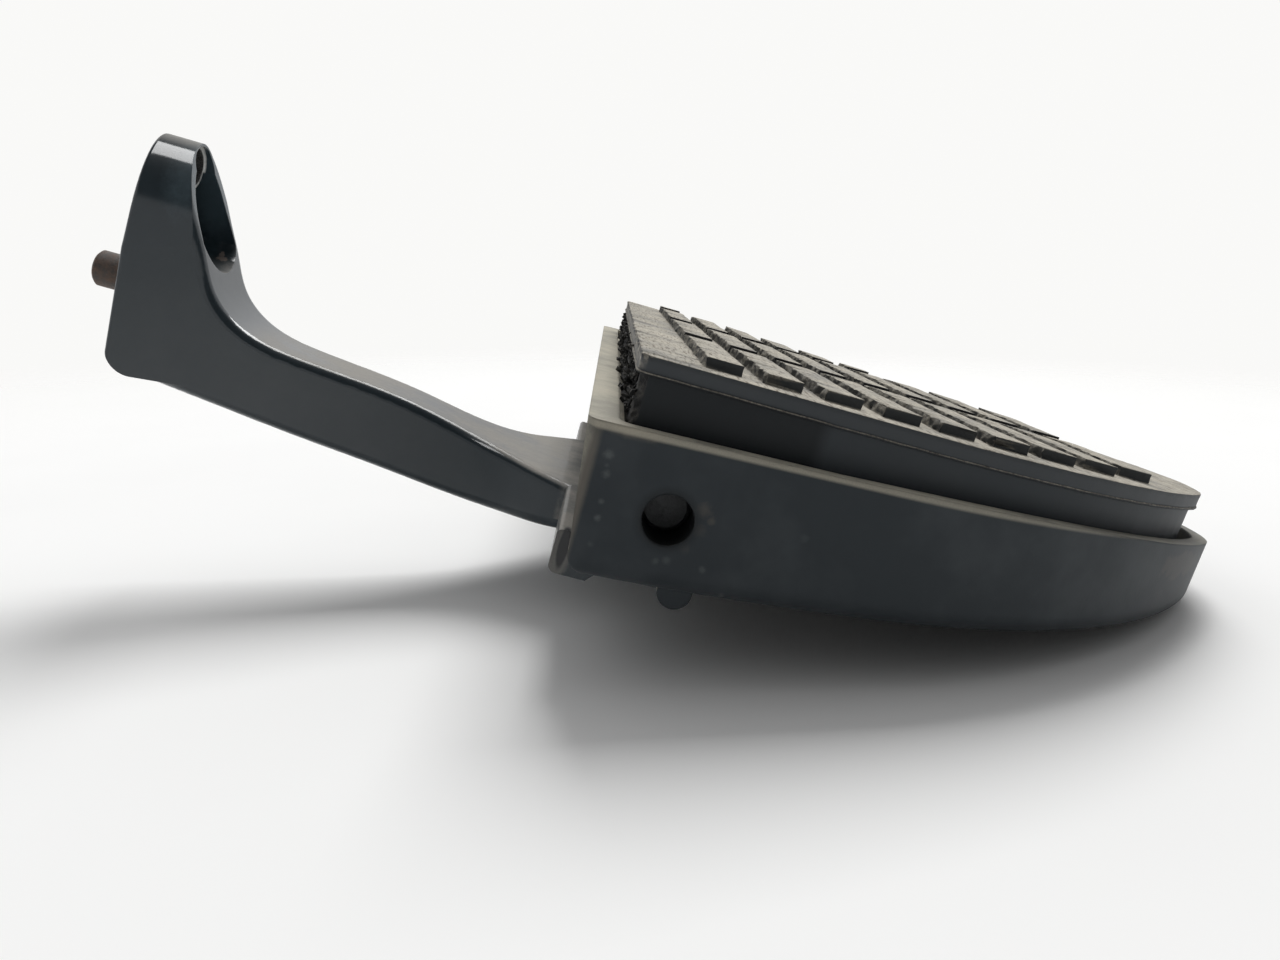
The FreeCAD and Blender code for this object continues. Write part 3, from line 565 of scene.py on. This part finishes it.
# the moulded rubber of the mat, with rounded edges, wear and tears, in mm from the hinge
matShape = {
    "merge": 2e-6, "flatDegrees": 0.6, "sharpRadians": 0.6, "sharpAbove": 22.0, "round": 0.32, "roundSteps": 2,
    "slices": {1: (0.0, 235.0, 1.6), 2: (14.0, 30.6, 0.85)}, "onPlane": 1e-6, "smoothDegrees": 38.0,
    "footTop": 14.0, "flangeTop": 28.4, "ridgeFrom": -0.3, "blockFrom": 1.0,
    "sag": 0.14, "sagScale": 0.09, "blockDrop": 0.6, "blockRun": 15.0, "blockCurve": 1.5,
    "leftFacing": -0.3, "ridgeTear": 0.7, "ridgeScales": (0.55, 1.3), "ridgeFine": 0.6, "ridgeTorn": 0.62,
    "ridgeAlong": 0.25, "ridgeDown": -0.3,
    "topFacing": 0.8, "scuffDepth": 0.12, "scuffScale": 0.8, "scuffTorn": 0.3,
    "tornSide": -10.6, "sideFrom": 13.0, "sideTo": 24.7, "sideFacing": -0.6, "sideTear": 0.8,
    "sideScales": (0.4, 1.1), "sideFine": 0.7, "sideUp": 0.4, "sideTorn": 1.0}
seedStep = (7.3, 3.1, 5.7)


def ripple(point, scale, seed):
    return noise.noise(point * scale + Vector([seed * step for step in seedStep]))


def sliceMesh(bm, slices):
    for axis, (start, end, thick) in slices.items():
        count = math.ceil((end - start) / thick)
        across = Vector([float(index == axis) for index in range(3)])
        for step in range(1, count):
            level = hinge + across * (start + (end - start) * step / count) * mm
            bmesh.ops.bisect_plane(bm, geom=bm.verts[:] + bm.edges[:] + bm.faces[:], dist=matShape["onPlane"],
                                   plane_co=level, plane_no=across)


def wearAt(spot, normal):
    look = matShape
    shift, torn = Vector((0, 0, 0)), 0.0
    onRidge = spot.z > look["flangeTop"] + look["ridgeFrom"]
    if spot.z > look["footTop"]:
        shift += normal * ripple(spot, look["sagScale"], 1) * look["sag"]
    if spot.z > look["flangeTop"] + look["blockFrom"]:  # each block leans down to the cut behind it
        for row in cutLine["rows"]:
            ahead = row + cutLine["slope"] * (spot.x - cutLine["from"]) + cutLine["lean"] - spot.y
            if 0 <= ahead < look["blockRun"]:
                shift.z -= look["blockDrop"] * (1 - ahead / look["blockRun"]) ** look["blockCurve"]
    if onRidge and normal.x < look["leftFacing"]:  # torn left sides of the ridges
        coarse, fine = look["ridgeScales"]
        bite = ripple(spot, coarse, 2) + look["ridgeFine"] * ripple(spot, fine, 3)
        shift += Vector((bite * look["ridgeTear"], look["ridgeAlong"] * bite, look["ridgeDown"] * abs(bite)))
        torn = look["ridgeTorn"]
    elif onRidge and normal.z < look["topFacing"]:
        shift += normal * look["scuffDepth"] * ripple(spot, look["scuffScale"], 4)
        torn = look["scuffTorn"]
    onSide = spot.x < look["tornSide"] and look["sideFrom"] < spot.z < look["sideTo"]
    if onSide and normal.x < look["sideFacing"]:  # torn side of the foot, along the hinge
        coarse, fine = look["sideScales"]
        bite = ripple(spot, coarse, 5) + look["sideFine"] * ripple(spot, fine, 6)
        shift += Vector((bite * look["sideTear"], 0, look["sideUp"] * bite))
        torn = look["sideTorn"]
    return shift * mm, torn


def makeMat():
    look = matShape
    bm = bmesh.new()
    bm.from_mesh(nodes["mat"].data)
    bmesh.ops.remove_doubles(bm, verts=bm.verts, dist=look["merge"])
    bmesh.ops.dissolve_limit(bm, angle_limit=math.radians(look["flatDegrees"]), verts=bm.verts, edges=bm.edges)
    sharp = [edge for edge in bm.edges
             if len(edge.link_faces) == 2 and edge.calc_face_angle() > look["sharpRadians"]
             and min(vert.co.z for vert in edge.verts) > hinge.z + look["sharpAbove"] * mm]
    bmesh.ops.bevel(bm, geom=sharp, offset=look["round"] * mm, segments=look["roundSteps"], profile=0.5,
                    affect="EDGES", clamp_overlap=True)
    sliceMesh(bm, look["slices"])  # points close enough for the tears to show
    bmesh.ops.triangulate(bm, faces=bm.faces)
    bmesh.ops.recalc_face_normals(bm, faces=bm.faces)
    bm.normal_update()
    tornLayer = bm.verts.layers.float.new("torn")
    shifts = []
    for vert in bm.verts:
        shift, vert[tornLayer] = wearAt((vert.co - hinge) / mm, vert.normal)
        shifts.append(shift)
    for vert, shift in zip(bm.verts, shifts):
        vert.co += shift
    mesh = bpy.data.meshes.new("matBody")
    bm.to_mesh(mesh)
    bm.free()
    mesh.shade_smooth()
    mesh.set_sharp_from_angle(angle=math.radians(look["smoothDegrees"]))
    mesh.materials.append(matRubber)
    piece = addObject("matBody", mesh)
    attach(piece, "board")
    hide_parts("mat")
    print("mat", len(mesh.polygons), "faces")


makeMat()


# helpers for geometry node trees
def growTree(name, settings):  # each setting is a named input of the tree
    tree, given, out = newTree("GeometryNodeTree", name, {"Geometry": None, **settings}, {"Geometry": None})
    return tree, given, out[0]


def randomVector(tree, low, high, seed):
    node = addNode(tree, "FunctionNodeRandomValue", data_type="FLOAT_VECTOR")
    for socket, value in ((node.inputs[0], low), (node.inputs[1], high), (node.inputs["Seed"], seed)):
        fill(tree, socket, value)
    return node.outputs[0]


def shaken(tree, geometry, scale, reach):
    cloud = feed(tree, addNode(tree, "ShaderNodeTexNoise"), Scale=scale)
    centred = vectorNode(tree, "SUBTRACT", cloud.outputs["Color"], (0.5, 0.5, 0.5))
    return feed(tree, addNode(tree, "GeometryNodeSetPosition"), Geometry=geometry,
                Offset=vectorNode(tree, "SCALE", centred, reach)).outputs[0]


def realized(tree, geometry):
    return feed(tree, addNode(tree, "GeometryNodeRealizeInstances"), Geometry=geometry).outputs[0]


def finishRubber(tree, geometry, torn, out):
    stored = feed(tree, addNode(tree, "GeometryNodeStoreNamedAttribute", data_type="FLOAT", domain="POINT"),
                  Geometry=geometry, Name="torn", Value=torn)
    finish = feed(tree, addNode(tree, "GeometryNodeSetMaterial"), Geometry=stored.outputs[0], Material=matRubber)
    fill(tree, out, finish.outputs[0])


def grow(name, tree, start, settings, body):
    host = addObject(name + "Host", start)
    modifier = host.modifiers.new("grow", "NODES")
    modifier.node_group = tree
    for item in tree.interface.items_tree:
        if item.in_out == "INPUT" and item.name in settings:
            modifier[item.identifier] = settings[item.name]
    graph = bpy.context.evaluated_depsgraph_get()
    mesh = bpy.data.meshes.new_from_object(host.evaluated_get(graph))
    host.modifiers.remove(modifier)
    bpy.data.objects.remove(host)
    mesh.name = name
    piece = addObject(name, mesh)
    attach(piece, body)
    print(name, len(mesh.polygons), "faces")


# torn shreds in the gap beside the mat, in metres, and the strip they lie on, in mm
shredPlace = {"Density": 330000.0, "Length": 0.0018, "Thick": 0.00045, "Seed": 11}
shredShape = {"turn": ((-1.3, -0.8, -3.0), (1.3, 0.8, 3.0)), "size": ((0.25, 0.6, 0.4), (0.8, 1.6, 1.3)),
              "corners": 5, "rings": 2, "shakeScale": 1100.0, "shake": 0.0011, "torn": 1.0}
shredStrip = ((-12.6, 8, 15.5), (-12.6, 212, 15.5), (-12.4, 212, 24.0), (-12.4, 8, 24.0))


def makeShreds():
    look = shredShape
    tree, given, out = growTree("shredScatter", shredPlace)
    scatter = feed(tree, addNode(tree, "GeometryNodeDistributePointsOnFaces"), Mesh=given["Geometry"],
                   Density=given["Density"], Seed=given["Seed"])
    flake = feed(tree, addNode(tree, "GeometryNodeMeshCone"), Vertices=look["corners"],
                 Side_Segments=look["rings"], Radius_Top=given["Thick"], Radius_Bottom=given["Thick"],
                 Depth=given["Length"])
    copies = feed(tree, addNode(tree, "GeometryNodeInstanceOnPoints"), Points=scatter.outputs["Points"],
                  Instance=flake.outputs["Mesh"], Rotation=randomVector(tree, *look["turn"], given["Seed"]),
                  Scale=randomVector(tree, *look["size"], given["Seed"]))
    rough = shaken(tree, realized(tree, copies.outputs[0]), look["shakeScale"], look["shake"])
    finishRubber(tree, rough, look["torn"], out)
    strip = bpy.data.meshes.new("shredStrip")
    strip.from_pydata([onBoard(*corner) for corner in shredStrip], [], [(0, 1, 2, 3)])
    grow("matShreds", tree, strip, shredPlace, "board")


makeShreds()

# thin moulding line that runs round the lower edge of the mat's flange, in metres, and its path, in mm
flashLine = {"Radius": 0.00034, "Waver": 0.0003, "Scale": 160.0}
flashShape = {"step": 0.0012, "sides": 6, "torn": 0.6}
flangePlan = {"inset": 6.0, "left": -12.8, "near": 4.2, "far": 229.0, "level": 24.95, "hubX": 40.0,
              "bigRadius": 118.0, "smallRadius": 50.0, "bigEnd": 50, "smallEnd": 135, "corner": 12.0,
              "leftCorner": 3.0, "arcSteps": 24, "cornerSteps": 8, "leftSteps": 6}


def sweepArc(centre, radius, first, last, steps):
    for step in range(steps + 1):
        angle = math.radians(first + (last - first) * step / steps)
        yield centre[0] + radius * math.sin(angle), centre[1] - radius * math.cos(angle)


def flangeEdge():
    plan = flangePlan
    big, small = plan["bigRadius"] - plan["inset"], plan["smallRadius"] - plan["inset"]
    bigEnd, smallEnd, turn = plan["bigEnd"], plan["smallEnd"], math.radians(plan["bigEnd"])
    hub = (plan["hubX"], plan["near"] + big)
    outer = (hub[0] + (big - small) * math.sin(turn), hub[1] - (big - small) * math.cos(turn))
    leftX = plan["left"] + plan["leftCorner"]
    points = [(leftX, plan["near"])]
    points += sweepArc(hub, big, 0, bigEnd, plan["arcSteps"])
    points += list(sweepArc(outer, small, bigEnd, smallEnd, plan["arcSteps"]))[1:]
    knee = points[-1][0] + points[-1][1] - plan["far"]
    reach = plan["corner"] * math.tan(math.radians((180 - smallEnd) / 2))
    points += sweepArc((knee - reach, plan["far"] - plan["corner"]), plan["corner"], smallEnd, 180,
                       plan["cornerSteps"])
    for y, first in ((plan["far"] - plan["leftCorner"], 180), (plan["near"] + plan["leftCorner"], 270)):
        points += sweepArc((leftX, y), plan["leftCorner"], first, first + 90, plan["leftSteps"])
    return [onBoard(x, y, plan["level"]) for x, y in points]


def makeFlash():
    look = flashShape
    tree, given, out = growTree("flashSweep", flashLine)
    line = feed(tree, addNode(tree, "GeometryNodeMeshToCurve"), Mesh=given["Geometry"])
    fine = feed(tree, addNode(tree, "GeometryNodeResampleCurve", mode="LENGTH"), Curve=line.outputs[0],
                Length=look["step"])
    wavy = shaken(tree, fine.outputs[0], given["Scale"], given["Waver"])
    ring = feed(tree, addNode(tree, "GeometryNodeCurvePrimitiveCircle"), Resolution=look["sides"],
                Radius=given["Radius"])
    tube = feed(tree, addNode(tree, "GeometryNodeCurveToMesh"), Curve=wavy, Profile_Curve=ring.outputs[0])
    finishRubber(tree, realized(tree, tube.outputs[0]), look["torn"], out)
    points = flangeEdge()
    path = bpy.data.meshes.new("flashPath")
    path.from_pydata(points, [(n, (n + 1) % len(points)) for n in range(len(points))], [])
    grow("matFlash", tree, path, flashLine, "board")


makeFlash()

# camera where the photograph was taken from
view = {"place": (0.113317, -0.249493, 0.007152), "turn": (77.39775, -15.7329, -1.446748), "lens": 27.05625,
        "sensor": 36.0, "nearest": 0.01}
camera = addObject("camera", bpy.data.cameras.new("camera"))
camera.location = view["place"]
camera.rotation_euler = [math.radians(angle) for angle in view["turn"]]
camera.data.lens = view["lens"]
camera.data.sensor_width = view["sensor"]
camera.data.clip_start = view["nearest"]
bpy.context.scene.camera = camera

# pale floor, turned so that the part lies on it
floorLook = {"color": (0.93, 0.928, 0.918), "softer": 0.985, "cloud": (9.0, 3.0, 0.5), "cloudEdge": (0.3, 0.7),
             "rough": 0.7, "middle": (0.15, 0.05, 0.0), "half": 3.0, "fadeFrom": 0.26, "fadeTo": 0.7}
lowest = min(min(vert.co.dot(lyingUp) for vert in node.data.vertices) for node in nodes.values())


def makeFloor():
    look = floorLook
    across = Vector((1, 0, 0)) - lyingUp * lyingUp.x
    across.normalize()
    along = lyingUp.cross(across)
    middle = Vector(look["middle"])
    middle -= lyingUp * (middle.dot(lyingUp) - lowest)
    corners = [middle + across * a * look["half"] + along * b * look["half"]
               for a, b in ((-1, -1), (1, -1), (1, 1), (-1, 1))]
    mesh = bpy.data.meshes.new("floor")
    mesh.from_pydata([tuple(corner) for corner in corners], [], [(0, 1, 2, 3)])
    material, tree, shader = newMaterial("floorWhite", Roughness=look["rough"], Specular_IOR_Level=0.0)
    spot = objectSpot(tree)
    tone = rangeNode(tree, noiseNode(tree, spot, *look["cloud"]), *look["cloudEdge"])
    soft = tuple(channel * look["softer"] for channel in look["color"])
    feed(tree, shader, Base_Color=mixColor(tree, tone, soft, look["color"]))
    back = addNode(tree, "ShaderNodeNewGeometry")  # seen from below, the floor is left out
    rays = addNode(tree, "ShaderNodeLightPath")
    away = vectorNode(tree, "DISTANCE", spot, middle)  # far off it gives way to the backdrop
    fade = times(tree, rangeNode(tree, away, look["fadeFrom"], look["fadeTo"]), rays.outputs["Is Camera Ray"])
    gone = greatest(tree, fade, back.outputs["Backfacing"])
    clear = addNode(tree, "ShaderNodeBsdfTransparent")
    output = next(node for node in tree.nodes if node.type == "OUTPUT_MATERIAL")
    feed(tree, output, Surface=mixShader(tree, gone, shader.outputs[0], clear.outputs[0]))
    mesh.materials.append(material)
    floor = addObject("floor", mesh)


makeFloor()

# the lamps stand round the part, the window is seen only in its gloss
lightTarget = Vector((0.16, 0.0, -0.03))
lightSet = {
    "top": {"at": (-0.05, 2.6, 3.8), "size": (2.5, 2.5), "power": 172.0},
    "window": {"at": (-0.6, -0.23, 1.0), "size": (0.3, 0.58), "power": 5.2, "level": True, "spread": False},
    "side": {"at": (-1.2, -0.4, 0.8), "size": (1.0, 1.0), "power": 1.0, "mirrored": False},
}


def makeLight(name, at, size, power, level=False, mirrored=True, spread=True):
    lamp = bpy.data.lights.new(name, "AREA")
    lamp.energy = power
    lamp.shape = "RECTANGLE"
    lamp.size, lamp.size_y = size
    light = addObject(name, lamp)
    light.location = lightTarget + Vector(at)
    light.visible_glossy = mirrored
    light.visible_diffuse = spread
    if not level:
        light.rotation_euler = (lightTarget - light.location).to_track_quat("-Z", "Y").to_euler()


for name, settings in lightSet.items():
    makeLight(name, **settings)

# the room is pale behind the part and dim on the camera's side
room = {"seen": (0.95, 0.948, 0.935), "tint": (0.985, 0.99, 1.0), "glossBack": 0.8, "glossFront": 0.1,
        "glossLow": 0.7, "glossTurn": (0.05, 0.4), "lowEdge": (0.36, 0.28), "litBack": 0.64, "litFront": 0.17,
        "litTurn": (-0.3, 0.2)}


def makeRoom():
    world = bpy.data.worlds.new("room")
    bpy.context.scene.world = world
    world.use_nodes = True
    tree = world.node_tree
    tree.nodes.clear()
    where = splitSpot(tree, addNode(tree, "ShaderNodeTexCoord").outputs["Generated"])
    low = rangeNode(tree, where["Z"], *room["lowEdge"])  # the gloss is bright just above the floor
    front = {"lit": room["litFront"], "gloss": mixValue(tree, low, room["glossFront"], room["glossLow"])}
    shades = {}
    for name in front:
        backSide = rangeNode(tree, where["Y"], *room[name + "Turn"])
        shades[name] = feed(tree, addNode(tree, "ShaderNodeBackground"), Color=room["tint"],
                            Strength=mixValue(tree, backSide, front[name], room[name + "Back"])).outputs[0]
    seen = feed(tree, addNode(tree, "ShaderNodeBackground"), Color=room["seen"])
    rays = addNode(tree, "ShaderNodeLightPath").outputs
    mirror = mathNode(tree, "ADD", rays["Is Glossy Ray"], rays["Is Transmission Ray"], clamp=True)
    unseen = mixShader(tree, mirror, shades["lit"], shades["gloss"])
    feed(tree, addNode(tree, "ShaderNodeOutputWorld"),
         Surface=mixShader(tree, rays["Is Camera Ray"], unseen, seen.outputs[0]))


makeRoom()
bpy.context.scene.view_settings.view_transform = "Standard"
print("stage set")
